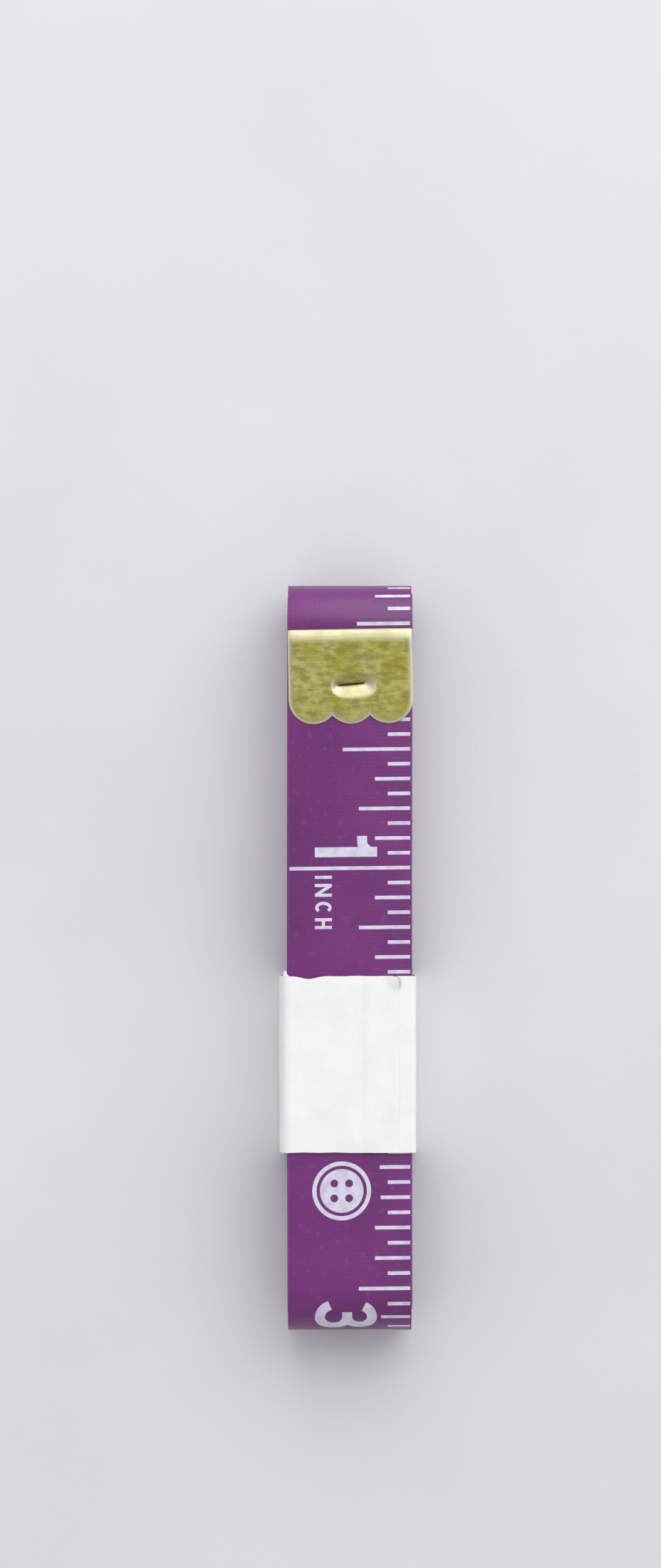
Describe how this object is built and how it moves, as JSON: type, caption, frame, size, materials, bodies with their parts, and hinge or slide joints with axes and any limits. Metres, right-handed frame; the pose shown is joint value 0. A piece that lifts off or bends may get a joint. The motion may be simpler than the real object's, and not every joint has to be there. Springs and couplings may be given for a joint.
{
  "type": "cloth tape measure",
  "caption": "Cloth sewing tape measure wound flat into a long bundle, with a folded brass clip on each end of the tape and a paper band that slides off the bundle.",
  "frame": {"origin": "middle of the bundle's bounding box, on the surface that the bundle lies on", "axes": "+X across the tape, +Y along the bundle towards the zero end clip, +Z out of the side that is read"},
  "size_m": [0.0138, 0.0786, 0.0097],
  "materials": {
    "coated_cloth": "smooth coated cloth, deep purple with a soft sheen",
    "clip_brass": "pressed thin brass, lightly scuffed",
    "band_paper": "uncoated white paper"
  },
  "bodies": {
    "winding": {"tape_winding": "coated_cloth", "far_end_clip": "clip_brass"},
    "free_end": {"tape_free_end": "coated_cloth", "zero_end_clip": "clip_brass"},
    "band": {"paper_band": "band_paper"}
  },
  "joints": [
    {"name": "band_slide", "type": "slide", "parent": "winding", "child": "band", "axis": [0, -1, 0], "range_m": [0, 0.04]},
    {"name": "free_end_lift", "type": "hinge", "parent": "winding", "child": "free_end", "pos_m": [0, -0.00095, 0.0093], "axis": [1, 0, 0], "range_deg": [0, 120]}
  ]
}
